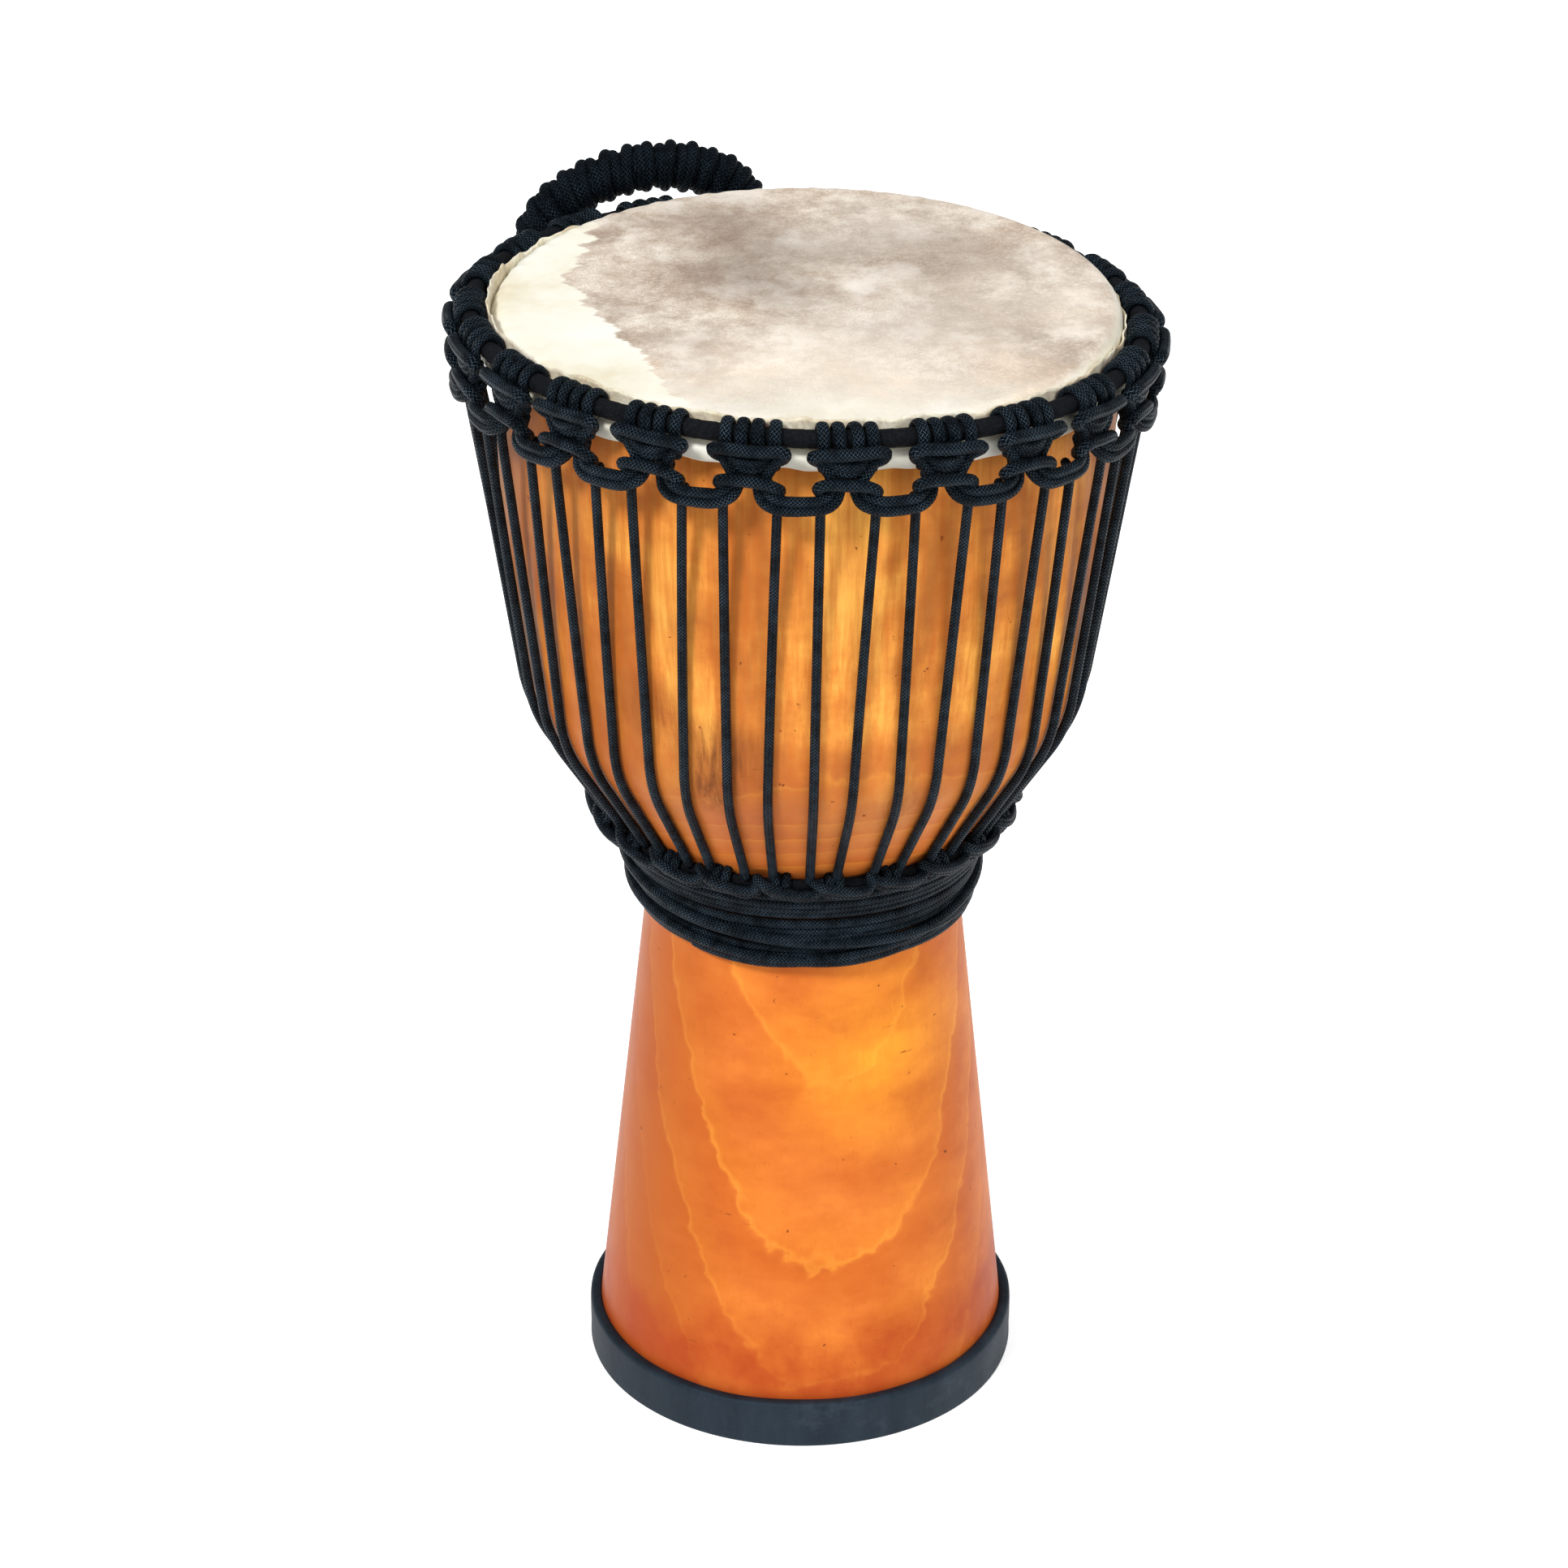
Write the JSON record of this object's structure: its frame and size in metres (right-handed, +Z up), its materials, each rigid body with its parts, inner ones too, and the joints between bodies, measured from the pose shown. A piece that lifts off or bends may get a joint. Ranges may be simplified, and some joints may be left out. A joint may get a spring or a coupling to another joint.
{
  "type": "djembe",
  "caption": "Goblet-shaped wooden hand drum with a rope-tensioned goat skin head, rubber foot ring and a knotted rope handle that folds down.",
  "frame": {"origin": "on the drum's axis, at the level of the floor that the foot ring stands on", "axes": "+Z up along the drum's axis to the playing surface, -Y towards the drum's front, +X to the right seen from the front"},
  "size_m": [0.3776, 0.3983, 0.6587],
  "materials": {
    "wood": "gloss lacquer over amber stained hardwood",
    "foot_rubber": "matte, lightly scuffed",
    "skin": "shaved goat skin, mottled tan and grey with a cream patch",
    "ring_steel": "plain welded rod",
    "ring_cloth": "matte cotton strip",
    "rope": "braided polyester, slight sheen",
    "handle_rope": "knotted braided rope"
  },
  "bodies": {
    "drum": {"shell": "wood", "rubber_foot_ring": "foot_rubber", "goat_skin": "skin", "flesh_ring": "ring_steel", "crown_ring": "ring_steel", "crown_ring_cloth": "ring_cloth", "crown_loops": "rope", "crown_knots": "rope", "crown_links": "rope", "tension_rope": "rope", "bottom_ring": "ring_steel", "bottom_ring_cloth": "ring_cloth", "bottom_loops": "rope", "bottom_links": "rope", "waist_wraps": "rope", "handle_beckets": "rope"},
    "handle": {"handle_core": "handle_rope", "handle_cover": "handle_rope"}
  },
  "joints": [
    {"name": "handle_swing", "type": "hinge", "parent": "drum", "child": "handle", "pos_m": [-0.09007, 0.16997, 0.60767], "axis": [-0.8854, -0.462, 0.0514], "range_deg": [0, 150]}
  ]
}
